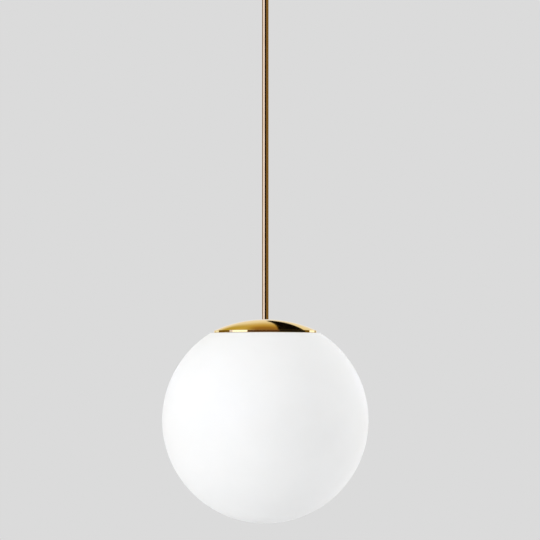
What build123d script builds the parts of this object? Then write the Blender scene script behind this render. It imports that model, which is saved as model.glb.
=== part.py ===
from build123d import *
from math import cos, radians, sin, sqrt
import os

# Pendant ceiling light: an opal glass globe under a shallow brass cap, hung on a rigid brass stem
# from a ball joint in a ceiling canopy. Millimetres, Z up. The origin is on the ceiling, on the
# stem's axis, and the lamp hangs below it. The front is the -Y side.

# Globe
globe_diameter = 320.0
glass_wall = 3.0  # at the bottom of the globe; the wall thickens towards the mouth
mouth_land = 11.0  # width of the ground flat round the mouth
glass_ledge = 6.0  # ground flat left showing outside the cap's rim
glass_edge = 0.8  # rounding of the ground flat's edges

# Cap
cap_diameter = 159.0
cap_dome_radius = 190.0
cap_rim = 3.5  # upright rim below the dome
cap_wall = 1.0
cap_to_glass = 0.4  # gap between the cap's rim and the ground flat
boss_diameter = 8.0
boss_inset = 22.5  # circle of bosses inside the globe's mouth
boss_floor = 1.0  # tapped hole's end to the dome
boss_count = 3

# Stem and its ball
stem_diameter = 10.0  # lamp tube with a metric fine thread at both ends
stem_wall = 1.0
stem_drop = 514.0  # from the ball's lowest point to the top of the cap
stem_stub = 2.0  # thread standing out of the top nut
ball_diameter = 30.0
ball_flat = 10.0  # height of the ball's flat top above its centre
ball_depth = 32.0  # ball's centre below the ceiling
thread_fit = 0.05  # radial room in every threaded or pressed bore

# Ball seat, a flanged nylon bush
seat_drop = 10.0  # seat's lower end below the ball's centre
seat_clearance = 0.1  # radial, round the ball
seat_wall = 2.0  # at the spigot's lower end
seat_flange_width = 4.3
seat_flange = 2.6

# Canopy
canopy_diameter = 120.0
canopy_wall = 1.2
canopy_band = 16.0  # height of the straight side
land_margin = 2.0  # flat land beyond the seat's flange
ceiling_gap = 1.0  # rim to ceiling

# Ceiling plate
plate_sheet = 2.0
plate_room = 1.5  # plate's edge to the canopy's inside
slot_spacing = 76.0
slot_width = 5.0
slot_length = 14.0
cable_hole = 16.0
cable_hole_y = 30.0
tab_width = 14.0
tab_length = 13.0
tab_screw_depth = 8.0  # side screws below the ceiling

# Screws, nuts and rivets
screw_diameter = 4.0
screw_hole_room = 0.2  # radial, in a plain hole
screw_head_diameter = 7.6
screw_head = 2.4
screw_length = 9.0
nut_wall = 2.0  # thread to flat
nut_height = 4.0
rivet_diameter = 3.0
rivet_head_diameter = 5.6
rivet_head = 1.0

# Terminal block and wiring
block_width = 40.0
block_depth = 14.0
block_height = 12.0
block_y = -30.0
block_floor = 3.0  # plastic under the heads of its fixing screws
block_screw_spacing = 32.0
pole_count = 3
pole_spacing = 8.5
clamp_spacing = 8.0  # between a pole's two clamping screws
clamp_diameter = 2.6
clamp_room = 0.1
sleeve_room = 0.4  # radial, round a wire
sleeve_wall = 0.8
wire_diameter = 2.2
wire_gap = 0.5  # between the two wires in the stem
wire_entry = 3.0  # length of wire inside the block
tail_radius = 4.0
lug_sheet = 0.8
lug_rim = 3.5  # width of a lug's ring
lug_barrel_diameter = 3.6
lug_barrel_length = 5.0
lug_barrel_flat = 0.2  # depth of the flat under a barrel
lug_room = 0.5  # nut or screw head to barrel
earth_screw_x = 20.0
earth_screw_y = 24.0

# Holder plate, gasket and spring arms
holder_plate_sheet = 1.2
holder_plate_room = 0.2  # plate's top edge to the inside of the cap
gasket_thickness = 2.5
spring_count = 3
spring_width = 14.0
spring_sheet = 0.6
spring_bend = 2.5
spring_flat = 20.0  # length on the plate
spring_inset = 16.5  # the knee inside the globe's mouth
spring_step = 9.0  # outward reach of the leg below the knee
spring_sink = 6.5  # depth of the elbow below the ground flat
spring_room = 0.7  # elbow to glass
spring_tail = 16.0  # length of the end that leads the glass in
spring_tail_angle = 40.0  # from the vertical
rivet_spacing = 8.0

# Lampholder for a 27 mm Edison screw
collar_wall = 3.0
collar_length = 10.0
collar_gap = 1.0  # below the lower nut
stem_grip = 9.0  # thread inside the collar
holder_wall = 2.0
holder_cap_length = 30.0
holder_shoulder = 9.0  # height of the rounded shoulder below the collar
skirt_length = 32.0
skirt_band = 4.0  # straight part of the skirt before its taper
skirt_taper = 1.4  # radial, from the band to the mouth
spigot_length = 5.0
insert_flange = 3.5
insert_length = 12.0
insert_room = 0.2  # radial, in the skirt
shell_bore = 26.9
shell_sheet = 0.5
shell_length = 24.0
shell_flange = 2.0
shell_room = 1.05  # flange to skirt
tongue_sheet = 0.5
tongue_width = 6.0
tongue_length = 9.0
tongue_rise = 2.1  # spring of the tongue below the insert

# Lamp bulb
contact_gap = 0.25  # tongue to button with the lamp screwed home
button_diameter = 9.2
button_height = 1.4
insulator_height = 4.3
insulator_diameter = 21.0
base_room = 0.45  # radial, in the shell
base_length = 20.5
base_cone = 3.0  # height of the sloping top of the base
base_sheet = 0.5
bulb_diameter = 60.0
lamp_length = 107.0  # button to the bottom of the bulb
bulb_join_angle = 58.2  # where the housing meets the ball, from the axis
housing_neck = 1.0  # step from the base to the housing
housing_plug = 14.0  # length of the housing's neck inside the base
lamp_wall = 1.6

# Radii that follow from the sizes above
globe_r = globe_diameter / 2
cap_r = cap_diameter / 2
stem_r = stem_diameter / 2
ball_r = ball_diameter / 2
canopy_r = canopy_diameter / 2
screw_r = screw_diameter / 2
screw_head_r = screw_head_diameter / 2
wire_r = wire_diameter / 2
wire_x = wire_r + wire_gap / 2
barrel_r = lug_barrel_diameter / 2
barrel_axis = barrel_r - lug_barrel_flat
sleeve_bore_r = wire_r + sleeve_room
sleeve_r = sleeve_bore_r + sleeve_wall
nut_r = stem_r + nut_wall
shell_r = shell_bore / 2
skirt_bore_r = shell_r + shell_sheet + shell_flange + shell_room
holder_bore_r = skirt_bore_r + holder_wall
holder_r = holder_bore_r + holder_wall
base_r = shell_r - base_room
bulb_r = bulb_diameter / 2
mouth_r = cap_r + glass_ledge
mouth_bore_r = mouth_r - mouth_land
boss_circle = mouth_bore_r - boss_inset
spring_knee = mouth_bore_r - spring_inset
spring_root = spring_knee - spring_flat

# Glass: the inside is a ball a little lower than the outside, so that the wall thickens upwards
cut_height = sqrt(globe_r**2 - mouth_r**2)
inner_reach = globe_r - glass_wall
inner_drop = (inner_reach**2 - cut_height**2 - mouth_bore_r**2) / (2 * (inner_reach + cut_height))
inner_r = inner_reach - inner_drop

# Heights, from the ceiling down
ball_z = -ball_depth
canopy_depth = ball_depth + seat_drop
lug_z = ball_z + ball_flat
stem_nut_z = lug_z + lug_sheet
stem_top_z = stem_nut_z + nut_height + stem_stub
pole_z = -plate_sheet - block_height / 2
land_z = -canopy_depth + canopy_wall
cap_top_z = ball_z - ball_r - stem_drop
cap_centre_z = cap_top_z - cap_dome_radius
cap_inner_r = cap_dome_radius - cap_wall
cap_edge_z = cap_centre_z + sqrt(cap_dome_radius**2 - cap_r**2)
cap_rim_z = cap_edge_z - cap_rim
glass_top_z = cap_rim_z - cap_to_glass
globe_z = glass_top_z - cut_height
inner_z = globe_z - inner_drop
holder_plate_z = glass_top_z + gasket_thickness
holder_plate_top_z = holder_plate_z + holder_plate_sheet
dome_room_r = sqrt(cap_inner_r**2 - (holder_plate_top_z + holder_plate_room - cap_centre_z) ** 2)
holder_plate_r = min(dome_room_r, cap_r - cap_wall - holder_plate_room)
boss_top_z = cap_centre_z + sqrt(cap_inner_r**2 - boss_circle**2)
plate_screw_length = boss_top_z - boss_floor - holder_plate_z
holder_z = holder_plate_z - nut_height - collar_gap
stem_bottom_z = holder_z - stem_grip
skirt_z = holder_z - holder_cap_length
skirt_mouth_z = skirt_z - skirt_length
spigot_z = skirt_z + spigot_length
insert_top_z = spigot_z + insert_flange
insert_z = spigot_z - insert_length
tongue_z = insert_z - tongue_rise - tongue_sheet
button_z = tongue_z - contact_gap
insulator_z = button_z - button_height
base_z = insulator_z - insulator_height
neck_z = base_z - base_length
bulb_z = button_z - lamp_length + bulb_r
diffuser_r = bulb_r * sin(radians(bulb_join_angle))
diffuser_z = bulb_z + bulb_r * cos(radians(bulb_join_angle))

# Ball seat: its spigot is sized round the ball at the canopy's underside
seat_ball_r = ball_r + seat_clearance
seat_top_z = land_z + seat_flange
seat_bore_r = sqrt(seat_ball_r**2 - seat_drop**2)
seat_bore_top_r = sqrt(seat_ball_r**2 - (seat_top_z - ball_z) ** 2)
seat_spigot_r = seat_bore_r + seat_wall
seat_flange_r = seat_spigot_r + seat_flange_width
land_r = seat_flange_r + land_margin


def turned(*edges):
    """A piece turned about the Z axis from a closed outline of radius and height."""
    outline = make_face([edge for part in edges for edge in part.edges()])
    return revolve(Plane.XZ * outline, Axis.Z)


def bar(radius, bottom, top, x=0.0, y=0.0):
    """An upright round bar between two heights."""
    return Pos(x, y, (bottom + top) / 2) * Cylinder(radius, top - bottom)


def cross_bar(radius, length, x, y, z):
    """A round bar along Y, centred on a point."""
    return Pos(x, y, z) * Rot(90, 0, 0) * Cylinder(radius, length)


def around(piece, count, start=0.0):
    """Copies of a piece, evenly spaced about the Z axis."""
    return [Rot(0, 0, start + 360 * i / count) * piece for i in range(count)]


def wire(path):
    """A round wire along a path."""
    return sweep(Plane(path @ 0, z_dir=path % 0) * Circle(wire_r), path=path)


def strip(path, width, sheet):
    """A flat strip bent along a path in the XZ plane."""
    section = Plane(path @ 0, x_dir=(0, 1, 0), z_dir=path % 0) * Rectangle(width, sheet)
    return sweep(section, path=path)


def hex_nut(bottom):
    """A nut on the stem's thread."""
    nut = extrude(RegularPolygon(nut_r, 6, major_radius=False), nut_height)
    return Pos(0, 0, bottom) * (nut - bar(stem_r + thread_fit, -1, nut_height + 1))


def pan_screw(length):
    """A screw that points up, with the seat of its rounded head at height zero."""
    crown_r = screw_head_r / 2
    head = turned(
        Polyline((crown_r, -screw_head), (0, -screw_head), (0, 0), (screw_head_r, 0)),
        RadiusArc((screw_head_r, 0), (crown_r, -screw_head), -screw_head_r),
    )
    return head + bar(screw_r, 0, length)


def ring_lug(hole_r, barrel_start):
    """A cable lug: a ring on height zero and a barrel along +Y with a flattened underside."""
    ring = bar(hole_r + lug_rim, 0, lug_sheet)
    barrel = cross_bar(barrel_r, lug_barrel_length, 0, barrel_start + lug_barrel_length / 2, barrel_axis)
    barrel -= bar(lug_barrel_length + barrel_start, -lug_barrel_diameter, 0)
    return ring + barrel - bar(hole_r, -1, lug_sheet + 1)


# Ceiling fitting

plate_r = canopy_r - canopy_wall - plate_room
tab_y = sqrt(plate_r**2 - (tab_width / 2) ** 2) - plate_sheet / 2
pole_xs = [(i - (pole_count - 1) / 2) * pole_spacing for i in range(pole_count)]
clamp_ys = [block_y - clamp_spacing / 2, block_y + clamp_spacing / 2]
block_screw_xs = [-block_screw_spacing / 2, block_screw_spacing / 2]
block_face_y = block_y + block_depth / 2
earth_hole_r = screw_r + screw_hole_room
stem_barrel_y = nut_r + lug_room
earth_barrel_x = screw_head_r + lug_room


def ceiling_plate():
    """Steel disc with two slots, a cable hole, tapped holes and two tabs bent down at its edge."""
    plate = bar(plate_r, -plate_sheet, 0)
    for side in (1, -1):
        plate += Pos(0, side * tab_y, -tab_length / 2) * Box(tab_width, plate_sheet, tab_length)
        plate -= cross_bar(screw_r + thread_fit, 3 * plate_sheet, 0, side * tab_y, -tab_screw_depth)
        slot = extrude(SlotOverall(slot_length, slot_width), 3 * plate_sheet)
        plate -= Pos(side * slot_spacing / 2, 0, -2 * plate_sheet) * slot
    plate -= bar(cable_hole / 2, -2 * plate_sheet, plate_sheet, 0, cable_hole_y)
    tapped = [(x, block_y) for x in block_screw_xs] + [(earth_screw_x, earth_screw_y)]
    for x, y in tapped:
        plate -= bar(screw_r + thread_fit, -2 * plate_sheet, plate_sheet, x, y)
    return plate


def canopy():
    """Spun cup: a flat land round the hole, a swept side and a straight band up to the ceiling."""
    hole_r = seat_spigot_r + thread_fit
    inside_r = canopy_r - canopy_wall
    cup = turned(
        Polyline((land_r, land_z), (hole_r, land_z), (hole_r, -canopy_depth), (land_r, -canopy_depth)),
        TangentArc((land_r, -canopy_depth), (canopy_r, -canopy_band), tangent=(1, 0)),
        Polyline((canopy_r, -canopy_band), (canopy_r, -ceiling_gap), (inside_r, -ceiling_gap)),
        Line((inside_r, -ceiling_gap), (inside_r, -canopy_band)),
        TangentArc((land_r, land_z), (inside_r, -canopy_band), tangent=(1, 0)),
    )
    return cup - cross_bar(screw_r + screw_hole_room, canopy_diameter + 2, 0, 0, -tab_screw_depth)


def canopy_screws():
    """Two side screws through the canopy into the plate's tabs."""
    return around(Pos(0, -canopy_r, -tab_screw_depth) * Rot(-90, 0, 0) * pan_screw(screw_length), 2)


def terminal_block():
    """Moulded body with a bore for each pole, wells for the clamping screws and two fixing holes."""
    body = Pos(0, block_y, pole_z) * Box(block_width, block_depth, block_height)
    body = fillet(body.edges().filter_by(Axis.Z), block_depth / 8)
    low = -plate_sheet - 2 * block_height
    for x in pole_xs:
        body -= cross_bar(sleeve_r + thread_fit, 2 * block_depth, x, block_y, pole_z)
        for y in clamp_ys:
            body -= bar(clamp_diameter / 2 + clamp_room, low, pole_z, x, y)
    for x in block_screw_xs:
        body -= bar(screw_head_r + screw_hole_room, low, -plate_sheet - block_floor, x, block_y)
        body -= bar(screw_r + screw_hole_room, low, 0, x, block_y)
    return body


def terminal_sleeves():
    """Brass sleeves in the block's bores, tapped for the clamping screws."""
    sleeves = []
    for x in pole_xs:
        sleeve = cross_bar(sleeve_r, block_depth - 2, x, block_y, pole_z)
        sleeve -= cross_bar(sleeve_bore_r, block_depth, x, block_y, pole_z)
        for y in clamp_ys:
            sleeve -= bar(clamp_diameter / 2 + thread_fit, pole_z - block_height, pole_z, x, y)
        sleeves.append(sleeve)
    return sleeves


def clamp_screws():
    """Headless screws that press on the wires from below."""
    low = -plate_sheet - block_height
    return [bar(clamp_diameter / 2, low, pole_z - wire_r, x, y) for x in pole_xs for y in clamp_ys]


def block_screws():
    """Two screws that hold the terminal block to the plate."""
    seat_z = -plate_sheet - block_floor
    return [Pos(x, block_y, seat_z) * pan_screw(plate_sheet + block_floor) for x in block_screw_xs]


def plate_lug():
    """Earth lug under the plate, with its barrel towards the stem."""
    lug = ring_lug(earth_hole_r, earth_barrel_x)
    return Pos(earth_screw_x, earth_screw_y, -plate_sheet) * Rot(180, 0, 90) * lug


def earth_screw():
    """Screw that holds the earth lug to the plate."""
    grip = plate_sheet + lug_sheet
    return Pos(earth_screw_x, earth_screw_y, -grip) * pan_screw(grip)


def supply_tail(start_x, pole):
    """A wire from the stem's top over to a pole of the terminal block."""
    bend_y = block_face_y + 2 * tail_radius
    points = [
        (start_x, 0, stem_top_z),
        (start_x, 0, pole_z),
        (pole, bend_y, pole_z),
        (pole, block_face_y - wire_entry, pole_z),
    ]
    return wire(FilletPolyline(*points, radius=tail_radius))


def earth_tail():
    """The earth wire from the stem's lug to the plate's lug."""
    start_y = stem_barrel_y + lug_barrel_length
    start_z = lug_z + barrel_axis
    end_x = earth_screw_x - earth_barrel_x - lug_barrel_length
    end_z = -plate_sheet - barrel_axis
    run = 1.5 * tail_radius
    points = [
        (0, start_y, start_z),
        (0, start_y + run, start_z),
        (end_x - run, earth_screw_y, end_z),
        (end_x, earth_screw_y, end_z),
    ]
    return wire(FilletPolyline(*points, radius=tail_radius))


def ball_seat():
    """Nylon bush: a flange on the canopy's land, a spigot in its hole and a spherical bore."""
    return turned(
        Line((seat_bore_r, -canopy_depth), (seat_spigot_r, -canopy_depth)),
        Polyline((seat_spigot_r, -canopy_depth), (seat_spigot_r, land_z), (seat_flange_r, land_z)),
        Polyline((seat_flange_r, land_z), (seat_flange_r, seat_top_z), (seat_bore_top_r, seat_top_z)),
        RadiusArc((seat_bore_top_r, seat_top_z), (seat_bore_r, -canopy_depth), seat_ball_r),
    )


# Stem and cap


def swivel_ball():
    """Turned ball with a flat top, tapped for the stem."""
    ball = Pos(0, 0, ball_z) * Sphere(ball_r)
    ball -= bar(ball_diameter, lug_z, lug_z + ball_diameter)
    return ball - bar(stem_r + thread_fit, ball_z - ball_diameter, ball_z + ball_diameter)


def stem():
    """Straight tube from the ball to the lampholder."""
    bore = bar(stem_r - stem_wall, stem_bottom_z - 1, stem_top_z + 1)
    return bar(stem_r, stem_bottom_z, stem_top_z) - bore


def stem_lug():
    """Earth lug between the ball and its nut."""
    return Pos(0, 0, lug_z) * ring_lug(stem_r + thread_fit, stem_barrel_y)


def stem_wire(side):
    """One of the two wires inside the stem, down to the lampholder's insert."""
    return bar(wire_r, insert_top_z, stem_top_z, side * wire_x)


def cap():
    """Spun dome with an upright rim and three tapped bosses inside."""
    rim_bore_r = cap_r - cap_wall
    inner_edge_z = cap_centre_z + sqrt(cap_inner_r**2 - rim_bore_r**2)
    hole_r = stem_r + thread_fit
    top_z = cap_centre_z + sqrt(cap_dome_radius**2 - hole_r**2)
    inner_top_z = cap_centre_z + sqrt(cap_inner_r**2 - hole_r**2)
    dome = turned(
        RadiusArc((hole_r, top_z), (cap_r, cap_edge_z), cap_dome_radius),
        Polyline((cap_r, cap_edge_z), (cap_r, cap_rim_z), (rim_bore_r, cap_rim_z)),
        Line((rim_bore_r, cap_rim_z), (rim_bore_r, inner_edge_z)),
        RadiusArc((hole_r, inner_top_z), (rim_bore_r, inner_edge_z), cap_inner_r),
        Line((hole_r, inner_top_z), (hole_r, top_z)),
    )
    boss = bar(boss_diameter / 2, holder_plate_top_z, cap_top_z, boss_circle)
    boss &= Pos(0, 0, cap_centre_z) * Sphere(cap_dome_radius - cap_wall / 2)
    boss -= bar(screw_r + thread_fit, holder_plate_z, boss_top_z - boss_floor, boss_circle)
    return dome + around(boss, boss_count)


def holder_plate():
    """Disc inside the cap with holes for the stem, the cap's screws and the springs' rivets."""
    plate = bar(holder_plate_r, holder_plate_z, holder_plate_top_z)
    low, high = holder_plate_z - 1, holder_plate_top_z + 1
    plate -= bar(stem_r + thread_fit, low, high)
    plate -= around(bar(screw_r + screw_hole_room, low, high, boss_circle), boss_count)
    for x in rivet_xs:
        plate -= around(bar(rivet_diameter / 2 + thread_fit, low, high, x), spring_count, spring_start)
    return plate


def plate_nuts():
    """Nuts above and below the holder plate."""
    return [hex_nut(holder_plate_top_z), hex_nut(holder_plate_z - nut_height)]


def plate_screws():
    """Screws from the plate up into the cap's bosses."""
    return around(Pos(boss_circle, 0, holder_plate_z) * pan_screw(plate_screw_length), boss_count)


def glass_gasket():
    """Flat silicone ring between the plate's edge and the ground flat."""
    bore = bar(mouth_bore_r, glass_top_z - 1, holder_plate_z + 1)
    return bar(holder_plate_r, glass_top_z, holder_plate_z) - bore


# Springs that hold the globe up against its gasket

spring_start = 180 / spring_count
spring_z = holder_plate_z - spring_sheet / 2
rivet_mid = (spring_root + spring_knee) / 2 - spring_bend / 2
rivet_xs = [rivet_mid - rivet_spacing / 2, rivet_mid + rivet_spacing / 2]


def spring_elbow():
    """Radius and height of an arm's elbow, just inside the glass at the strip's corners."""
    elbow_z = glass_top_z - spring_sink
    glass_r = sqrt((inner_r - spring_room - spring_sheet / 2) ** 2 - (elbow_z - inner_z) ** 2)
    return sqrt(glass_r**2 - (spring_width / 2) ** 2), elbow_z


def glass_spring(angle):
    """Bent strip: flat on the plate, down through the mouth, out to the elbow and back in."""
    elbow_r, elbow_z = spring_elbow()
    tail = radians(spring_tail_angle)
    points = [
        (spring_root, 0, spring_z),
        (spring_knee, 0, spring_z),
        (spring_knee + spring_step, 0, elbow_z),
        (elbow_r, 0, elbow_z),
        (elbow_r - spring_tail * sin(tail), 0, elbow_z - spring_tail * cos(tail)),
    ]
    arm = strip(FilletPolyline(*points, radius=spring_bend), spring_width, spring_sheet)
    for x in rivet_xs:
        arm -= bar(rivet_diameter / 2 + thread_fit, holder_plate_z - 1, holder_plate_z + 1, x)
    return Rot(0, 0, angle) * arm


def spring_rivets():
    """Two rivets through each arm and the plate."""
    low = holder_plate_z - spring_sheet
    rivets = []
    for x in rivet_xs:
        shank = bar(rivet_diameter / 2, low, holder_plate_top_z, x)
        heads = bar(rivet_head_diameter / 2, low - rivet_head, low, x)
        heads += bar(rivet_head_diameter / 2, holder_plate_top_z, holder_plate_top_z + rivet_head, x)
        rivets += around(shank + heads, spring_count, spring_start)
    return rivets


# Lampholder


def lampholder_cap():
    """Upper half: a tapped collar, a rounded shoulder and a straight side."""
    bore_r = stem_r + thread_fit
    collar_r = stem_r + collar_wall
    collar_z = holder_z - collar_length
    side_z = collar_z - holder_shoulder
    roof_z = collar_z - holder_wall
    return turned(
        Polyline((bore_r, roof_z), (bore_r, holder_z), (collar_r, holder_z), (collar_r, collar_z)),
        TangentArc((holder_r, side_z), (collar_r, collar_z), tangent=(0, 1)),
        Polyline((holder_r, side_z), (holder_r, skirt_z), (holder_bore_r, skirt_z)),
        Line((holder_bore_r, skirt_z), (holder_bore_r, side_z)),
        TangentArc((holder_bore_r, side_z), (collar_r, roof_z), tangent=(0, 1)),
        Line((collar_r, roof_z), (bore_r, roof_z)),
    )


def lampholder_skirt():
    """Lower half: a spigot inside the upper half, a short band and a taper to the mouth."""
    spigot_r = holder_bore_r - thread_fit
    mouth = holder_r - skirt_taper
    band_z = skirt_z - skirt_band
    return turned(
        Polyline((skirt_bore_r, skirt_mouth_z), (mouth, skirt_mouth_z), (holder_r, band_z)),
        Polyline((holder_r, band_z), (holder_r, skirt_z), (spigot_r, skirt_z), (spigot_r, spigot_z)),
        Polyline((spigot_r, spigot_z), (skirt_bore_r, spigot_z), (skirt_bore_r, skirt_mouth_z)),
    )


def lampholder_insert():
    """Porcelain core: a flange on the skirt's spigot and a plug inside the skirt."""
    plug_r = skirt_bore_r - insert_room
    flange = bar(holder_bore_r - insert_room, spigot_z, insert_top_z)
    return flange + bar(plug_r, insert_z, spigot_z)


def edison_shell():
    """Sheet-metal socket for the lamp's base, flanged under the insert."""
    bore_r = shell_r
    outer_r = bore_r + shell_sheet
    flange_r = outer_r + shell_flange
    flange_z = insert_z - shell_sheet
    low = insert_z - shell_length
    return turned(
        Polyline((bore_r, low), (outer_r, low), (outer_r, flange_z), (flange_r, flange_z)),
        Polyline((flange_r, flange_z), (flange_r, insert_z), (bore_r, insert_z)),
        Line((bore_r, insert_z), (bore_r, low)),
    )


def centre_contact():
    """Spring tongue under the insert that meets the lamp's button."""
    root_z = insert_z - tongue_sheet / 2
    tip_z = root_z - tongue_rise
    third = tongue_length / 3
    corners = [(-tongue_length, root_z), (-2 * third, root_z), (-third, tip_z), (third, tip_z)]
    path = FilletPolyline(*[(x, 0, z) for x, z in corners], radius=tongue_sheet)
    return strip(path, tongue_width, tongue_sheet)


# Lamp bulb


def lamp_contact():
    """The lamp's centre contact, a shallow button."""
    edge_r = button_diameter / 2
    crown_r = edge_r - button_height
    return turned(
        Polyline((crown_r, button_z), (0, button_z), (0, insulator_z), (edge_r, insulator_z)),
        RadiusArc((edge_r, insulator_z), (crown_r, button_z), -button_height),
    )


def lamp_insulator():
    """Glass cone between the button and the base."""
    top_r, low_r = button_diameter / 2, insulator_diameter / 2
    return turned(
        Polyline((0, base_z), (0, insulator_z), (top_r, insulator_z), (low_r, base_z), (0, base_z)),
    )


def lamp_base():
    """Sheet-metal screw base."""
    top_r = insulator_diameter / 2
    lip_r = button_diameter / 2
    lip_z = base_z - base_sheet
    cone_z = base_z - base_cone
    bore_r = base_r - base_sheet
    return turned(
        Polyline((lip_r, base_z), (top_r, base_z), (base_r, cone_z), (base_r, neck_z), (bore_r, neck_z)),
        Polyline((bore_r, neck_z), (bore_r, cone_z), (top_r - base_sheet, lip_z)),
        Polyline((top_r - base_sheet, lip_z), (lip_r, lip_z), (lip_r, base_z)),
    )


def lamp_housing():
    """Plastic body: a plug inside the base and a flare that runs into the bulb's ball."""
    plug_r = base_r - base_sheet - thread_fit
    plug_z = neck_z + housing_plug
    neck_r = base_r + housing_neck
    bore_r = plug_r - lamp_wall
    throat_z = neck_z - lamp_wall
    rim_r = diffuser_r - lamp_wall
    along_ball = (bulb_z - diffuser_z, diffuser_r)
    return turned(
        TangentArc((diffuser_r, diffuser_z), (neck_r, neck_z), tangent=along_ball),
        Polyline((neck_r, neck_z), (plug_r, neck_z), (plug_r, plug_z), (bore_r, plug_z)),
        Line((bore_r, plug_z), (bore_r, throat_z)),
        TangentArc((rim_r, diffuser_z), (bore_r, throat_z), tangent=along_ball),
        Line((rim_r, diffuser_z), (diffuser_r, diffuser_z)),
    )


def lamp_diffuser():
    """Opal ball of the bulb."""
    inner_bulb_r = bulb_r - lamp_wall
    rim_r = sqrt(inner_bulb_r**2 - (diffuser_z - bulb_z) ** 2)
    return turned(
        ThreePointArc((diffuser_r, diffuser_z), (bulb_r, bulb_z), (0, bulb_z - bulb_r)),
        Line((0, bulb_z - bulb_r), (0, bulb_z - inner_bulb_r)),
        ThreePointArc((0, bulb_z - inner_bulb_r), (inner_bulb_r, bulb_z), (rim_r, diffuser_z)),
        Line((rim_r, diffuser_z), (diffuser_r, diffuser_z)),
    )


# Globe


def globe():
    """Opal ball cut flat at the top, with rounded edges on the ground flat."""
    ball = turned(
        ThreePointArc((0, globe_z - globe_r), (globe_r, globe_z), (mouth_r, glass_top_z)),
        Line((mouth_r, glass_top_z), (mouth_bore_r, glass_top_z)),
        ThreePointArc((mouth_bore_r, glass_top_z), (inner_r, inner_z), (0, inner_z - inner_r)),
        Line((0, inner_z - inner_r), (0, globe_z - globe_r)),
    )
    edges = ball.edges().filter_by_position(Axis.Z, glass_top_z - 0.01, glass_top_z + 0.01)
    return fillet(edges, glass_edge)


def save(node, pieces):
    """One file for each named piece or group of equal pieces."""
    pieces = pieces if isinstance(pieces, list) else [pieces]
    solids = [solid for piece in pieces for solid in piece.solids()]
    export_step(solids[0] if len(solids) == 1 else Compound(children=solids), f"parts/{node}.step")
    print(node, len(solids), round(sum(solid.volume for solid in solids), 1))


os.makedirs("parts", exist_ok=True)
save("ceiling_plate", ceiling_plate())
save("canopy", canopy())
save("canopy_screws", canopy_screws())
save("terminal_block", terminal_block())
save("terminal_sleeves", terminal_sleeves())
save("clamp_screws", clamp_screws())
save("block_screws", block_screws())
save("plate_lug", plate_lug())
save("earth_screw", earth_screw())
save("live_tail", supply_tail(-wire_x, pole_xs[0]))
save("neutral_tail", supply_tail(wire_x, pole_xs[-1]))
save("earth_tail", earth_tail())
save("ball_seat", ball_seat())
save("swivel_ball", swivel_ball())
save("stem_lug", stem_lug())
save("stem_nut", hex_nut(stem_nut_z))
save("stem", stem())
save("live_wire", stem_wire(-1))
save("neutral_wire", stem_wire(1))
save("cap", cap())
save("holder_plate", holder_plate())
save("plate_nuts", plate_nuts())
save("plate_screws", plate_screws())
save("glass_gasket", glass_gasket())
for number in range(spring_count):
    save(f"glass_spring_{number + 1}", glass_spring(spring_start + 360 * number / spring_count))
save("spring_rivets", spring_rivets())
save("lampholder_cap", lampholder_cap())
save("lampholder_insert", lampholder_insert())
save("edison_shell", edison_shell())
save("centre_contact", centre_contact())
save("lampholder_skirt", lampholder_skirt())
save("lamp_contact", lamp_contact())
save("lamp_insulator", lamp_insulator())
save("lamp_base", lamp_base())
save("lamp_housing", lamp_housing())
save("lamp_diffuser", lamp_diffuser())
save("globe", globe())
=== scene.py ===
# %% [markdown]
# # A pendant lamp with an opal globe
# The lamp hangs from the ceiling: a brass canopy, a thin brass stem, a shallow brass cap and a ball of
# opal glass with a bulb inside. A solid model of it is loaded first. It gives the main sizes and every
# joint, and it is never moved: the pieces made here are wrapped round it and ride on its bodies.

# %% Load the solid model
from functools import partialmethod
from math import asin, atan2, cos, pi, radians, sin, sqrt, tan
import bmesh
import bpy
from mathutils import Matrix, Vector


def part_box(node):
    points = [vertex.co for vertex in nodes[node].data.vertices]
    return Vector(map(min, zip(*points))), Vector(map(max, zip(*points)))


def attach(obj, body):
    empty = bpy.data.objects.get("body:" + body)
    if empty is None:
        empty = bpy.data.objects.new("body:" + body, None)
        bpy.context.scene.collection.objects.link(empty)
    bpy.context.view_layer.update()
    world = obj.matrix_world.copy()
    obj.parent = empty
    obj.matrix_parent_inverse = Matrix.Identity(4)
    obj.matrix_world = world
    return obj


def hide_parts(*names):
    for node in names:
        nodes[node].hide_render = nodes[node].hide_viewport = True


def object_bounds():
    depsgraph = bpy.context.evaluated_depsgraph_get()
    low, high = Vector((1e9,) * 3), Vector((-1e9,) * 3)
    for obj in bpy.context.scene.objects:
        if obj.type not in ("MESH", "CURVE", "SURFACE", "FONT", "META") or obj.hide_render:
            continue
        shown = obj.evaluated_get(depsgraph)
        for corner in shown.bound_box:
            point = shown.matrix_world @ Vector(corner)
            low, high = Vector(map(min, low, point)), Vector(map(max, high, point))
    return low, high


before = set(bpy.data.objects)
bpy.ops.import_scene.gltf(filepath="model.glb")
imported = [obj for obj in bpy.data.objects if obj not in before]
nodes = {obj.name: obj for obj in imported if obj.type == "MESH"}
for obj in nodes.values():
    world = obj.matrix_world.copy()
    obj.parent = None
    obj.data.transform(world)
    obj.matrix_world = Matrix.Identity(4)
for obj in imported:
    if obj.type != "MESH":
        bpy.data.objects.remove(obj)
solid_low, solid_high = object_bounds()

scene = bpy.context.scene
print("size in metres", [round(v, 4) for v in solid_high - solid_low])

# %% [markdown]
# ## Measuring the solid model
# Most heights below are read from the solid model instead of being typed again, so the looks follow when a
# size changes there. A node's box gives its lowest and highest corner. What a box can't show, such as a
# wall or a bend, is typed in millimetres.

# %% Heights and radii
MM = 0.001


def low(node):
    """Height of a node's lowest point."""
    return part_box(node)[0].z


def high(node):
    """Height of a node's highest point."""
    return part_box(node)[1].z


def span(node):
    """Heights of a node's lowest and highest points."""
    return low(node), high(node)


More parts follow.
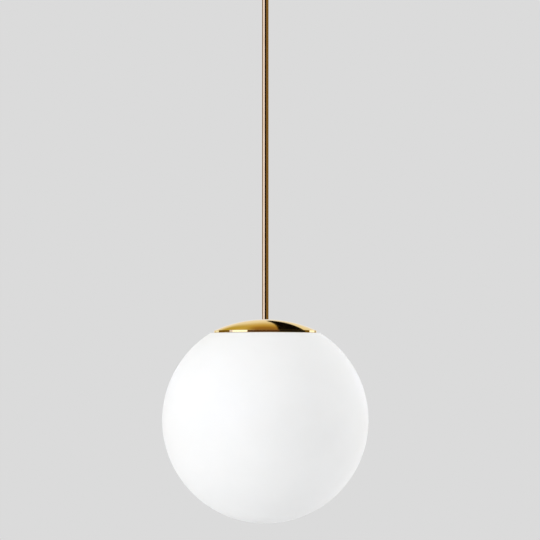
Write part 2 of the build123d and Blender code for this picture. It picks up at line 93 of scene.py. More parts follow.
def reach(node):
    """Largest radius of a node about the lamp's axis, along X or Y."""
    corner_low, corner_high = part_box(node)
    return max(corner_high.x, corner_high.y, -corner_low.x, -corner_low.y)


globe_radius, glass_top = reach("globe"), high("globe")
globe_centre = low("globe") + globe_radius
cap_radius, stem_radius = reach("cap"), reach("stem")
cap_rim, cap_top = span("cap")
print("radii of globe, cap and stem", [round(v, 4) for v in (globe_radius, cap_radius, stem_radius)])

# %% [markdown]
# ## The camera
# The photograph is a front view with almost no perspective, so the camera stands far back with a long
# lens. It looks up by about one degree, which bows the cap's rim a little. The picture's scale follows from
# the globe: its width in pixels against its real diameter. The lamp hangs a little left of the picture's
# middle, so the camera stands a little to the right.


# %% Camera
def added(name, data):
    """A new object with this data, put into the scene."""
    result = bpy.data.objects.new(name, data)
    scene.collection.objects.link(result)
    return result


PICTURE = 540  # pixels across the square picture
GLOBE_PIXELS = 206.2  # globe's diameter in the picture
GLOBE_PIXEL_X = 265.35  # lamp's axis, from the left
GLOBE_PIXEL_Y = 420.3  # globe's centre, from the top
CAMERA_DISTANCE = 30.0
LOOK_UP = radians(1.13)

metres_per_pixel = 2 * globe_radius / GLOBE_PIXELS
picture_width = PICTURE * metres_per_pixel
camera_data = bpy.data.cameras.new("camera")
camera_data.sensor_width = 36
camera_data.lens = camera_data.sensor_width * CAMERA_DISTANCE / picture_width
camera_data.clip_end = 100
camera = added("camera", camera_data)
camera.location = (
    (PICTURE / 2 - GLOBE_PIXEL_X) * metres_per_pixel,
    -CAMERA_DISTANCE * cos(LOOK_UP),
    globe_centre + (GLOBE_PIXEL_Y - PICTURE / 2) * metres_per_pixel - CAMERA_DISTANCE * sin(LOOK_UP),
)
camera.rotation_euler = (pi / 2 + LOOK_UP, 0, 0)
scene.camera = camera
print("lens", round(camera_data.lens), "mm; the picture is", round(picture_width, 3), "m wide")

# %% [markdown]
# ## Writing node trees as sums
# Both geometry trees and shader trees need a lot of arithmetic. A small class lets the script write that
# arithmetic as ordinary formulas: each + or * places a Math node and links it.


# %% A number inside a node tree
class Field:
    """An output socket of a node tree that can be added, multiplied and so on."""

    def __init__(self, socket):
        self.socket, self.tree = socket, socket.id_data

    def math(self, operation, other=None):
        """A Math node fed with the field and, if the operation takes two, another value."""
        node = self.tree.nodes.new("ShaderNodeMath")
        node.operation = operation
        feed(node.inputs[0], self)
        if other is not None:
            feed(node.inputs[1], other)
        return Field(node.outputs[0])

    __add__, __sub__ = partialmethod(math, "ADD"), partialmethod(math, "SUBTRACT")
    __mul__, __truediv__ = partialmethod(math, "MULTIPLY"), partialmethod(math, "DIVIDE")
    sin, cos, sqrt = partialmethod(math, "SINE"), partialmethod(math, "COSINE"), partialmethod(math, "SQRT")

    def flipped(self):
        """One minus the field."""
        return self * -1.0 + 1.0

    def smooth(self, start, end):
        """Rises softly from 0 to 1 between two values."""
        node = self.tree.nodes.new("ShaderNodeMapRange")
        node.interpolation_type = "SMOOTHSTEP"
        fill(node, Value=self, From_Min=start, From_Max=end)
        return Field(node.outputs["Result"])


def feed(socket, value):
    """Links a field or a node's output to a socket, or sets the socket to a plain value."""
    if isinstance(value, Field):
        value = value.socket
    if isinstance(value, bpy.types.NodeSocket):
        socket.id_data.links.new(value, socket)
    else:
        socket.default_value = value


def fill(node, **inputs):
    """Feeds a node's named inputs. An underscore stands for a space."""
    for name, value in inputs.items():
        feed(node.inputs[name.replace("_", " ")], value)
    return node


def add(tree, kind, **inputs):
    """Adds a node and fills the named inputs."""
    return fill(tree.nodes.new(kind), **inputs)


def source(tree, kind, output):
    """An output of a new node that needs no inputs."""
    return Field(tree.nodes.new(kind).outputs[output])


def split(where):
    """The three coordinates of a vector."""
    return [Field(output) for output in add(where.tree, "ShaderNodeSeparateXYZ", Vector=where).outputs]


def vector(tree, x, y, z):
    """A vector from three coordinates."""
    return Field(add(tree, "ShaderNodeCombineXYZ", X=x, Y=y, Z=z).outputs[0])


print("formulas write Math nodes")

# %% [markdown]
# ## Turned shapes
# Nearly everything on this lamp is turned or spun, so it comes from an outline swept round the axis.
# Blender's Screw modifier could do that. A few lines of mesh code do it as well, close the poles, and
# let each corner of the outline have its own small rounding, which is what catches the light.

# %% Outlines and turning
POLE = 1e-7  # an outline's point nearer to the axis than this is a pole


def rounded(*corners, steps=5):
    """Points of a closed outline. A corner is (radius, height) or (radius, height, rounding)."""
    points = []
    count = len(corners)
    for i, corner in enumerate(corners):
        here = Vector(corner[:2])
        if len(corner) == 2:
            points.append(tuple(here))
            continue
        back = Vector(corners[i - 1][:2]) - here
        ahead = Vector(corners[(i + 1) % count][:2]) - here
        half = back.angle(ahead) / 2
        shorter = 0.4 * min(back.length, ahead.length)
        size = min(corner[2], shorter * tan(half))
        setback = size / tan(half)
        back.normalize()
        ahead.normalize()
        middle = here + (back + ahead).normalized() * size / sin(half)
        first = here + back * setback - middle
        turn = first.angle_signed(here + ahead * setback - middle)
        hold = min(0.3 * size, 0.2 * shorter)  # a ring just outside the rounding keeps the flats flat
        points.append(tuple(here + back * (setback + hold)))
        for k in range(steps + 1):
            points.append(tuple(middle + Matrix.Rotation(-turn * k / steps, 2) @ first))
        points.append(tuple(here + ahead * (setback + hold)))
    return points


def arc(across, height, radius, first, last, steps):
    """Outline points on a circle about (across, height), between two angles from straight up."""
    angles = [first + (last - first) * k / steps for k in range(steps + 1)]
    return [(across + radius * sin(angle), height + radius * cos(angle)) for angle in angles]


def turned(outline, steps=128):
    """A closed mesh made by turning an outline of (radius, height) points about the axis."""
    points, rows, faces = [], [], []
    for radius, height in outline:
        count = steps if radius > POLE else 1
        rows.append([len(points) + k for k in range(count)])
        angles = [2 * pi * k / steps for k in range(count)]
        points += [(radius * cos(angle), radius * sin(angle), height) for angle in angles]
    for row, next_row in zip(rows, rows[1:] + rows[:1]):
        if len(row) == len(next_row) == 1:
            continue
        for k in range(steps):
            around = ((row, k), (row, k + 1), (next_row, k + 1), (next_row, k))
            corners = [ring[step % len(ring)] for ring, step in around]
            faces.append(list(dict.fromkeys(corners)))
    mesh = bpy.data.meshes.new("turned")
    mesh.from_pydata(points, [], faces)
    return tidy(mesh)


def tidy(mesh, sharp=35):
    """Merges doubles, points the faces outwards and shades smooth apart from sharp edges."""
    shape = bmesh.new()
    shape.from_mesh(mesh)
    bmesh.ops.remove_doubles(shape, verts=shape.verts, dist=1e-6)
    bmesh.ops.recalc_face_normals(shape, faces=shape.faces)
    shape.to_mesh(mesh)
    shape.free()
    mesh.shade_smooth()
    mesh.set_sharp_from_angle(angle=radians(sharp))
    return mesh


def joined(*meshes):
    """One mesh of several separate closed shapes."""
    shape = bmesh.new()
    for mesh in meshes:
        shape.from_mesh(mesh)
    result = bpy.data.meshes.new("joined")
    shape.to_mesh(result)
    shape.free()
    return result


def place(name, mesh, material, body, *stands_for, slot):
    """Names a finished mesh, gives it its material and lets it ride in place of solid nodes."""
    mesh.name = name
    mesh.materials.clear()
    mesh.materials.append(material)
    piece = added(name, mesh)
    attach(piece, body)
    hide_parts(*stands_for)
    print(name, len(mesh.polygons), "faces, rides on", body)
    return piece


print("outlines are ready to turn")

# %% [markdown]
# ## Finishes, part one: effects that several materials share
# Two shader groups are used again and again. One is handling: soft clouds of dulling and faint fine
# scratches, as on any metal that has been polished and wiped. The other is turning: the fine rings that a
# lathe or a spinning tool leaves round the axis. Both read Object coordinates, so they stay on the piece.


# %% Shader groups
def shader_group(name, inputs, outputs):
    """A new shader group with named numbers going in and out: the tree, its inputs and its end node."""
    tree = bpy.data.node_groups.new(name, "ShaderNodeTree")
    for label, value in inputs.items():
        tree.interface.new_socket(label, in_out="INPUT", socket_type="NodeSocketFloat").default_value = value
    for label in outputs:
        tree.interface.new_socket(label, in_out="OUTPUT", socket_type="NodeSocketFloat")
    start = tree.nodes.new("NodeGroupInput")
    return tree, [Field(start.outputs[label]) for label in inputs], tree.nodes.new("NodeGroupOutput")


def on_piece(tree):
    """Object coordinates, which stay on the piece as it moves."""
    return source(tree, "ShaderNodeTexCoord", "Object")


def noise(where, scale, detail=4.0, rough=0.5):
    """A soft noise field over a vector."""
    node = add(where.tree, "ShaderNodeTexNoise", Vector=where, Scale=scale, Detail=detail, Roughness=rough)
    return Field(node.outputs["Fac"])


def blend_colour(amount, first, second):
    """Mixes two colours by a field."""
    node = amount.tree.nodes.new("ShaderNodeMix")
    node.data_type = "RGBA"
    feed(node.inputs["Factor"], amount)
    for socket, colour in ((node.inputs[6], first), (node.inputs[7], second)):
        feed(socket, colour)
    return Field(node.outputs[2])


def make_handling():
    """Clouds of dulling and hair scratches: a mask for each, and a roughness."""
    inputs = {"Cloud Size": 0.04, "Least Roughness": 0.1, "Most Roughness": 0.2}
    outputs = ["Dulling", "Roughness", "Scratches"]
    tree, (cloud_size, least, most), end = shader_group("handling", inputs, outputs)
    here = on_piece(tree)
    clouds = noise(here, cloud_size.math("POWER", -1.0), 6.0, 0.6).smooth(0.35, 0.75)
    stretched = add(tree, "ShaderNodeMapping", Vector=here, Scale=(60, 900, 900))
    scratches = noise(Field(stretched.outputs[0]), 1.0, 2.0, 0.7).smooth(0.62, 0.7)
    fill(end, Dulling=clouds, Roughness=least + (most - least) * clouds, Scratches=scratches)
    return tree


def make_turning():
    """Fine rings about the axis, as heights."""
    tree, (per_metre,), end = shader_group("turning", {"Rings per Metre": 2500.0}, ["Rings"])
    x, y, z = split(on_piece(tree))
    rings = vector(tree, (x * x + y * y).sqrt() * per_metre, z * per_metre, 0.0)
    fill(end, Rings=noise(rings, 1.0, 2.0, 0.5))
    return tree


handling, turning = make_handling(), make_turning()
print("groups", handling.name, turning.name)

# %% [markdown]
# ## Finishes, part two: the materials
# Each material is a Principled shader with its own numbers, and reads the shared groups for what changes
# over the surface. Polished brass is a mirror, so its colour is set for what it reflects: most of what is
# seen on the stem and the cap is the room, tinted by the metal.


# %% Material helpers
def new_material(name, **fixed):
    """A material with a Principled shader whose named sockets are set to fixed values."""
    material = bpy.data.materials.new(name)
    material.use_nodes = True
    tree = material.node_tree
    return material, tree, fill(tree.nodes["Principled BSDF"], **fixed)


def group_node(tree, group, **inputs):
    """Places a shader group in a material and sets its inputs."""
    node = tree.nodes.new("ShaderNodeGroup")
    node.node_tree = group
    return fill(node, **inputs)


def raise_surface(shader, height, distance):
    """A bump from a height field, at full strength."""
    bump = add(height.tree, "ShaderNodeBump", Strength=1.0, Distance=distance, Height=height)
    fill(shader, Normal=bump.outputs["Normal"])


def metal(name, bright, dull, least, most, cloud, rings=0.0, depth=0.000002, edge=(1.0, 1.0, 1.0), bare=1.0):
    """A metal finish: two tints blended by handling, soft roughness and, if asked, turning rings."""
    material, tree, shader = new_material(name, Metallic=bare, Specular_Tint=(*edge, 1))
    touched = group_node(tree, handling, Cloud_Size=cloud, Least_Roughness=least, Most_Roughness=most).outputs
    tint = blend_colour(Field(touched["Dulling"]), (*bright, 1), (*dull, 1))
    fill(shader, Base_Color=tint, Roughness=touched["Roughness"])
    height = Field(touched["Scratches"]) * -0.15
    if rings:
        height = height + group_node(tree, turning, Rings_per_Metre=rings).outputs["Rings"]
    raise_surface(shader, height, depth)
    return material


def moulded(name, colour, shade, roughness, grain, depth, coat=0.0):
    """A moulded or fired finish: a slightly uneven colour and a fine skin."""
    material, tree, shader = new_material(name, Coat_Weight=coat, Coat_Roughness=0.08)
    here = on_piece(tree)
    cloud = noise(here, 90.0).smooth(0.3, 0.7)
    grains = noise(here, grain, 3.0)
    tint = blend_colour(cloud, (*colour, 1), (*shade, 1))
    fill(shader, Base_Color=tint, Roughness=grains * 0.12 + roughness)
    raise_surface(shader, grains, depth)
    return material


print("metal and moulded finishes can be made")

# %% Brass, steel, plastic, porcelain
gold, old_gold, gold_edge = (0.83, 0.615, 0.275), (0.79, 0.565, 0.235), (1.0, 0.86, 0.58)
brass = metal("polished_brass", gold, old_gold, 0.05, 0.10, 0.05, 1500.0, 0.0000012, gold_edge)
drawn_brass = metal("drawn_brass", gold, old_gold, 0.05, 0.09, 0.03, edge=gold_edge)
plain_brass = metal("plain_brass", (0.74, 0.54, 0.27), (0.55, 0.38, 0.18), 0.2, 0.38, 0.006)
zinc = metal("zinc_plate", (0.68, 0.69, 0.70), (0.55, 0.56, 0.57), 0.25, 0.42, 0.008)
galvanised = metal("galvanised_sheet", (0.71, 0.72, 0.73), (0.62, 0.63, 0.645), 0.34, 0.46, 0.0035, bare=0.8)
spring_steel = metal("spring_steel", (0.55, 0.55, 0.56), (0.42, 0.42, 0.44), 0.18, 0.3, 0.01)
nickel = metal("nickel_plate", (0.72, 0.70, 0.66), (0.6, 0.58, 0.55), 0.15, 0.3, 0.005)
bakelite = moulded("black_moulding", (0.022, 0.021, 0.02), (0.03, 0.028, 0.026), 0.22, 1400.0, 0.00001, 0.3)
white_moulding = moulded("white_moulding", (0.82, 0.82, 0.8), (0.78, 0.78, 0.755), 0.38, 1600.0, 0.00001)
bulb_opal = moulded("bulb_opal", (0.88, 0.88, 0.86), (0.85, 0.85, 0.825), 0.42, 2200.0, 0.000006)
porcelain = moulded("porcelain", (0.86, 0.85, 0.8), (0.82, 0.8, 0.74), 0.2, 500.0, 0.00002, 0.8)
nylon = moulded("black_nylon", (0.03, 0.03, 0.03), (0.04, 0.04, 0.04), 0.45, 1800.0, 0.00001)
silicone = moulded("silicone", (0.75, 0.75, 0.72), (0.7, 0.7, 0.67), 0.6, 900.0, 0.00001)
block_white = moulded("block_moulding", (0.82, 0.81, 0.76), (0.76, 0.75, 0.7), 0.5, 900.0, 0.00002)
wire_brown = moulded("brown_insulation", (0.16, 0.07, 0.03), (0.13, 0.055, 0.025), 0.4, 800.0, 0.00001)
wire_blue = moulded("blue_insulation", (0.03, 0.1, 0.42), (0.025, 0.08, 0.36), 0.4, 800.0, 0.00001)
wire_green = moulded("green_insulation", (0.12, 0.35, 0.05), (0.4, 0.38, 0.03), 0.4, 800.0, 0.00001)
print(len(bpy.data.materials), "materials so far")

# %% [markdown]
# ## Opal glass
# Opal glass is white all through and etched matt outside. Light sinks in a little and comes back out, so
# its shading is soft. A very fine etched grain goes into the bump, and slow clouds a few centimetres wide
# move the white by a hair, as in glass that was blown and not printed.


# %% Opal glass material
def make_opal():
    """Etched white glass."""
    sinking = {"Subsurface_Weight": 0.55, "Subsurface_Scale": 0.01, "Subsurface_Radius": (1.0, 0.95, 0.9)}
    material, tree, shader = new_material("opal_glass", IOR=1.5, **sinking)
    here = on_piece(tree)
    clouds = noise(here, 14.0, 3.0).smooth(0.3, 0.7)
    etched = noise(here, 2600.0, 2.0)
    white = blend_colour(clouds, (0.9, 0.9, 0.895, 1), (0.885, 0.885, 0.878, 1))
    fill(shader, Base_Color=white, Roughness=etched * 0.1 + 0.5)
    raise_surface(shader, etched, 0.000012)
    return material


opal = make_opal()
print("opal glass is ready")

# %% [markdown]
# ## The globe, by rule
# The globe is two balls, one inside the other, cut by a level plane. The inner ball sits a little lower, so
# the wall thickens towards the mouth. That is a rule and not a drawing, so Geometry Nodes make it: a flat
# grid is rolled up, its rows become circles, and five such skins meet round the mouth's ground edge.


# %% Geometry node helpers
def geometry_tree(name, sizes, takes_geometry=False):
    """A new geometry tree with named inputs: a finish, its sizes and, if asked, a geometry."""
    tree = bpy.data.node_groups.new(name, "GeometryNodeTree")
    if takes_geometry:
        tree.interface.new_socket("Geometry", in_out="INPUT", socket_type="NodeSocketGeometry")
    tree.interface.new_socket("Finish", in_out="INPUT", socket_type="NodeSocketMaterial")
    for label, value in sizes.items():
        kind = "NodeSocketInt" if isinstance(value, int) else "NodeSocketFloat"
        tree.interface.new_socket(label, in_out="INPUT", socket_type=kind).default_value = value
    tree.interface.new_socket("Geometry", in_out="OUTPUT", socket_type="NodeSocketGeometry")
    start = tree.nodes.new("NodeGroupInput")
    return tree, start, {label: Field(start.outputs[label]) for label in sizes}


def close_tree(tree, start, geometry):
    """Realizes copies, sets the finish and ends the tree."""
    real = add(tree, "GeometryNodeRealizeInstances", Geometry=geometry)
    finish = add(tree, "GeometryNodeSetMaterial", Geometry=real.outputs[0], Material=start.outputs["Finish"])
    add(tree, "NodeGroupOutput", Geometry=finish.outputs[0])
    return tree


def skin(tree, columns, rows, shape):
    """A grid rolled round the axis. shape gives radius and height from a field that runs from 0 to 1."""
    grid = add(tree, "GeometryNodeMeshGrid", Size_X=1.0, Size_Y=1.0, Vertices_X=columns, Vertices_Y=rows)
    x, y = split(source(tree, "GeometryNodeInputPosition", 0))[:2]
    angle = (x + 0.5) * (2 * pi)
    radius, height = shape(y + 0.5, angle)
    spot = vector(tree, radius * angle.cos(), radius * angle.sin(), height)
    return add(tree, "GeometryNodeSetPosition", Geometry=grid.outputs["Mesh"], Position=spot).outputs[0]


def weld(tree, skins):
    """Joins skins and closes their seams and poles."""
    join = tree.nodes.new("GeometryNodeJoinGeometry")
    for part in skins:
        feed(join.inputs[0], part)
    return add(tree, "GeometryNodeMergeByDistance", Geometry=join.outputs[0], Distance=0.01 * MM).outputs[0]


def evaluated(work):
    """An object's mesh after its modifiers, as a plain mesh. The object is removed."""
    view = bpy.context.evaluated_depsgraph_get()
    view.update()
    mesh = bpy.data.meshes.new_from_object(work.evaluated_get(view))
    bpy.data.objects.remove(work)
    return mesh


def grown(tree, finish, blank=None, sharp=35, **sizes):
    """Runs a geometry tree, with its own sizes or the given ones, and returns a plain mesh."""
    carrier = added("carrier", blank or bpy.data.meshes.new("blank"))
    modifier = carrier.modifiers.new("grow", "NODES")
    modifier.node_group = tree
    values = {"Finish": finish, **{label.replace("_", " "): value for label, value in sizes.items()}}
    for item in tree.interface.items_tree:
        if item.in_out == "INPUT" and item.name in values:
            modifier[item.identifier] = values[item.name]
    return tidy(evaluated(carrier), sharp)


print("trees can grow meshes")


# %% The rule for a cut ball
def make_cut_ball(sizes):
    """Two balls cut level. Rounded edges run from each ball into the flat between them."""
    tree, start, size = geometry_tree("cut_ball", sizes)
    edge, columns = size["Edge Rounding"], size["Columns"]
    edge_height = size["Cut Height"] - edge

    def edge_centre(reach, centre):
        rise = edge_height - centre
        radius = (reach * reach - rise * rise).sqrt()
        return radius, radius.math("ARCTAN2", rise)

    outer_edge, outer_lean = edge_centre(size["Outer Radius"] - edge, size["Outer Centre"])
    inner_edge, inner_lean = edge_centre(size["Inner Radius"] + edge, size["Inner Centre"])

    def ball(radius, centre, lean):
        def shape(along, angle):
            turn = along * (lean * -1.0 + pi)
            return radius * turn.sin(), centre - radius * turn.cos()

        return shape

    def rounding(middle, whole_turn):
        def shape(along, angle):
            turn = whole_turn * along
            return middle + edge * turn.sin(), edge_height + edge * turn.cos()

        return shape

    def flat(along, angle):
        return outer_edge + (inner_edge - outer_edge) * along, size["Cut Height"] + along * 0.0

    skins = [
        skin(tree, columns, size["Rows"], ball(size["Outer Radius"], size["Outer Centre"], outer_lean)),
        skin(tree, columns, 5, rounding(outer_edge, outer_lean)),
        skin(tree, columns, 4, flat),
        skin(tree, columns, 9, rounding(inner_edge, inner_lean - pi)),
        skin(tree, columns, size["Rows"], ball(size["Inner Radius"], size["Inner Centre"], inner_lean)),
    ]
    return close_tree(tree, start, weld(tree, skins))


print("two balls can be cut")

# %% Globe
glass_wall = 3.0 * MM  # at the globe's lowest point
mouth_bore = 74.5 * MM  # radius of the mouth before its edge is rounded
cut = glass_top - globe_centre
inner_reach = globe_radius - glass_wall
inner_drop = (inner_reach**2 - cut**2 - mouth_bore**2) / (2 * (inner_reach + cut))
inner_radius, inner_centre = inner_reach - inner_drop, globe_centre - inner_drop
globe_sizes = {"Outer Radius": globe_radius, "Outer Centre": globe_centre, "Inner Radius": inner_radius}
globe_sizes |= {"Inner Centre": inner_centre, "Cut Height": glass_top, "Edge Rounding": 0.8 * MM}
globe_sizes |= {"Columns": 193, "Rows": 97}
place("opal_globe", grown(make_cut_ball(globe_sizes), opal), opal, "globe", "globe", slot="opal_glass")

# %% [markdown]
# ## Cap, stem and canopy
# The cap is a shallow piece of a large ball with a short upright rim. The stem is a plain tube. The canopy
# is a cup with a flat land at the bottom. All three are thin brass, so each outline runs along the outside
# and back along the inside. Rounded edges a few tenths of a millimetre wide make the bright lines on rims.

# %% Cap
dome_radius, sheet = 190 * MM, 1.0 * MM
stem_hole = stem_radius + 0.05 * MM
dome_centre = cap_top + stem_hole**2 / (2 * dome_radius) - dome_radius


def dome(radius, end_radius):
    """Outline points over the top of a ball, from the stem's hole to a distance off the axis."""
    return arc(0, dome_centre, radius, asin(stem_hole / radius), asin(end_radius / radius), 36)


outside, inside = dome(dome_radius, cap_radius), dome(dome_radius - sheet, cap_radius - sheet)
cap_outline = rounded(
    *outside[:-1],
    (*outside[-1], 0.15 * MM),
    (cap_radius, cap_rim, 0.3 * MM),
    (cap_radius - sheet, cap_rim, 0.2 * MM),
    *reversed(inside),
)
plate_low, plate_high = span("holder_plate")
boss_circle, boss_radius, boss_count = 52 * MM, 4 * MM, 3
boss_low_corner, boss_high_corner = (boss_radius, plate_high, 0.4 * MM), (boss_radius, cap_top)
boss_outline = rounded((0, plate_high), boss_low_corner, boss_high_corner, (0, cap_top))
bosses = []
for k in range(boss_count):
    boss = turned(boss_outline, 32)
    boss.transform(Matrix.Rotation(2 * pi * k / boss_count, 4, "Z") @ Matrix.Translation((boss_circle, 0, 0)))
    for corner in boss.vertices:
        if corner.co.z > cap_top - 0.1 * MM:  # the boss's top ends inside the dome's sheet, along its curve
            corner.co.z = dome_centre + sqrt((dome_radius - sheet / 2) ** 2 - corner.co.xy.length_squared)
    bosses.append(boss)
cap_mesh = joined(turned(cap_outline, 192), *bosses)
place("brass_cap", cap_mesh, brass, "stem", "cap", slot="polished_brass")

# %% Stem
stem_low, stem_high = span("stem")
stem_bore = stem_radius - 1.0 * MM
stem_outline = rounded(
    (stem_bore, stem_low, 0.2 * MM),
    (stem_radius, stem_low, 0.3 * MM),
    (stem_radius, stem_high, 0.3 * MM),
    (stem_bore, stem_high, 0.2 * MM),
)
stem_piece = place("brass_stem", turned(stem_outline, 96), drawn_brass, "stem", "stem", slot="polished_brass")
for unmirrored in (stem_piece, nodes["live_wire"], nodes["neutral_wire"]):
    unmirrored.visible_glossy = False  # the cap shows no image of the stem


# %% Canopy
canopy_radius = 60 * MM
canopy_low, canopy_high = span("canopy")
band_low = -16 * MM
land, canopy_hole, canopy_sheet = 19.6 * MM, 13.36 * MM, 1.2 * MM


def swept_side(radius, height):
    """Outline points of the curve that leaves the flat land level and ends at the straight band."""
    run, rise = radius - land, band_low - height
    bend = (run * run + rise * rise) / (2 * rise)
    return arc(land, height + bend, bend, pi, pi - asin(run / bend), 32)


outer_side = swept_side(canopy_radius, canopy_low)
inner_side = swept_side(canopy_radius - canopy_sheet, canopy_low + canopy_sheet)
canopy_outline = rounded(
    (canopy_hole, canopy_low, 0.3 * MM),
    *outer_side[:-1],
    (*outer_side[-1], 1.6 * MM),
    (canopy_radius, canopy_high, 0.4 * MM),
    (canopy_radius - canopy_sheet, canopy_high, 0.4 * MM),
    *reversed(inner_side),
    (canopy_hole, canopy_low + canopy_sheet, 0.3 * MM),
)
place("brass_canopy", turned(canopy_outline, 192), brass, "ceiling_fixture", "canopy", slot="polished_brass")

# %% [markdown]
# ## The ball joint
# The stem hangs from a brass ball that rests in a nylon ring, so it can swing and always hangs plumb. The
# ball is turned, and so is the ring, whose bore follows the ball with a hair of room.

# %% Ball and seat
ball_centre, ball_radius = -32 * MM, 15 * MM
ball_top = high("swivel_ball") - ball_centre
first = atan2(sqrt(ball_radius**2 - ball_top**2), ball_top)
last = pi - asin(stem_hole / ball_radius)
ball_points = arc(0, ball_centre, ball_radius, first, last, 40)
ball_outline = rounded((stem_hole, ball_centre + ball_top), (*ball_points[0], 0.4 * MM), *ball_points[1:])
place("swivel_ball_turned", turned(ball_outline, 96), brass, "stem", "swivel_ball", slot="polished_brass")

seat_low, seat_high = span("ball_seat")
seat_step = canopy_low + canopy_sheet  # the flange rests on the canopy's land
seat_bore, seat_neck, seat_flange = ball_radius + 0.1 * MM, 13.31 * MM, 17.6 * MM
bore_heights = [seat_high + (seat_low - seat_high) * k / 12 for k in range(13)]
seat_outline = rounded(
    *[(sqrt(seat_bore**2 - (z - ball_centre) ** 2), z) for z in bore_heights],
    (seat_neck, seat_low, 0.3 * MM),
    (seat_neck, seat_step),
    (seat_flange, seat_step, 0.3 * MM),
    (seat_flange, seat_high, 0.5 * MM),
)
place("nylon_seat", turned(seat_outline, 128), nylon, "ball_seat", "ball_seat", slot="seat_nylon")

# %% [markdown]
# ## Screws, rivets and nuts
# A screw head gets a slot, cut with a Boolean, and a nut gets chamfered corners, cut by intersecting it with
# a turned shape. Each fastener is made once. A Geometry Nodes tree then sets copies of it round the axis.


# %% Ring of copies
def make_ring_of_copies():
    """Copies of a shape, evenly spaced about the axis."""
    tree, start, size = geometry_tree("ring_of_copies", {"Count": 3, "Start Angle": 0.0}, takes_geometry=True)
    spots = add(tree, "GeometryNodeMeshLine", Count=size["Count"], Offset=(0.0, 0.0, 0.0))
    index = source(tree, "GeometryNodeInputIndex", 0)
    angle = size["Start Angle"] + index / size["Count"] * (2 * pi)
    turn = add(tree, "FunctionNodeEulerToRotation", Euler=vector(tree, 0.0, 0.0, angle))
    copies = add(tree, "GeometryNodeInstanceOnPoints", Points=spots.outputs["Mesh"])
    fill(copies, Instance=start.outputs["Geometry"], Rotation=turn.outputs[0])
    return close_tree(tree, start, copies.outputs[0])


def shaped(blank, tool, operation="DIFFERENCE"):
    """A blank after a Boolean with a tool."""
    work, cutter = added("work", blank), added("cutter", tool)
    cut_step = work.modifiers.new("cut", "BOOLEAN")
    cut_step.operation, cut_step.object, cut_step.solver = operation, cutter, "EXACT"
    result = tidy(evaluated(work), 28)
    bpy.data.objects.remove(cutter)
    return result


def primitive(make, *moves, **sizes):
    """A mesh of one of bmesh's basic shapes, moved by one matrix after another."""
    shape = bmesh.new()
    make(shape, **sizes)
    mesh = bpy.data.meshes.new("primitive")
    shape.to_mesh(mesh)
    shape.free()
    for move in moves:
        mesh.transform(move)
    return mesh


ring_of_copies = make_ring_of_copies()
print("tree", ring_of_copies.name)


# %% Slotted screws
def slotted_screw(length, slot_turn):
    """A pan-head screw that points up, with the head's seat at height zero."""
    shank, head, head_tall = 2.0 * MM, 3.8 * MM, 2.4 * MM
    outline = rounded(
        (0, length),
        (1.5 * MM, length, 0.2 * MM),
        (shank, length - 0.6 * MM),
        (shank, 0),
        (head, 0, 0.2 * MM),
        (3.7 * MM, -0.9 * MM, 0.8 * MM),
        (2.2 * MM, -2.3 * MM, 1.2 * MM),
        (0, -head_tall),
    )
    turn = Matrix.Translation((0, 0, -2.2 * MM)) @ Matrix.Rotation(radians(slot_turn), 4, "Z")
    slot_size = Matrix.Diagonal((9 * MM, 1.0 * MM, 2.0 * MM, 1))
    slot = primitive(bmesh.ops.create_cube, slot_size, turn, size=1.0)
    return shaped(turned(outline, 48), slot)


def ring_of(mesh, finish, count, start=0.0, sharp=28):
    """Copies of a mesh about the axis, as one mesh."""
    return grown(ring_of_copies, finish, mesh, sharp, Count=count, Start_Angle=start)


side_screw, side_height = slotted_screw(9 * MM, 25), -8 * MM
laid_level = Matrix.Rotation(radians(-90), 4, "X")
side_screw.transform(Matrix.Translation((0, -canopy_radius, side_height)) @ laid_level)
side_pair = ring_of(side_screw, plain_brass, 2)
place("canopy_screw_pair", side_pair, plain_brass, "ceiling_fixture", "canopy_screws", slot="polished_brass")

plate_screw = slotted_screw(high("plate_screws") - plate_low, 70)
plate_screw.transform(Matrix.Translation((boss_circle, 0, plate_low)))
plate_set = ring_of(plate_screw, zinc, boss_count)
place("plate_screw_set", plate_set, zinc, "stem", "plate_screws", slot="zinc_steel")

# %% Nuts
nut_across, nut_tall = 14 * MM, 4 * MM


def chamfered_nut(bottom):
    """A hexagon nut on the stem's thread."""
    corner, top, flat = nut_across / sqrt(3), bottom + nut_tall, nut_across / 2
    moves = Matrix.Translation((0, 0, bottom + nut_tall / 2)), Matrix.Rotation(radians(30), 4, "Z")
    sizes = {"segments": 6, "radius1": corner, "radius2": corner, "depth": nut_tall, "cap_ends": True}
    drop = (corner - flat) * tan(radians(30))
    envelope = rounded(
        (stem_hole, bottom),
        (flat - 0.1 * MM, bottom),
        (corner, bottom + drop),
        (corner, top - drop),
        (flat - 0.1 * MM, top),
        (stem_hole, top),
    )
    return shaped(primitive(bmesh.ops.create_cone, *moves, **sizes), turned(envelope, 72), "INTERSECT")


plate_nut_mesh = joined(chamfered_nut(plate_high), chamfered_nut(plate_low - nut_tall))
place("plate_nut_pair", tidy(plate_nut_mesh, 28), zinc, "stem", "plate_nuts", slot="zinc_steel")
place("stem_nut_hex", chamfered_nut(low("stem_nut")), zinc, "stem", "stem_nut", slot="zinc_steel")

# %% [markdown]
# ## What holds the glass
# Three bent spring arms are riveted under a steel disc inside the cap. Their elbows reach under the globe's
# shoulder and press it up against a silicone ring. An arm is a flat strip that follows a bent line, so a
# Geometry Nodes tree fillets the line's corners and sweeps a rectangle along it.


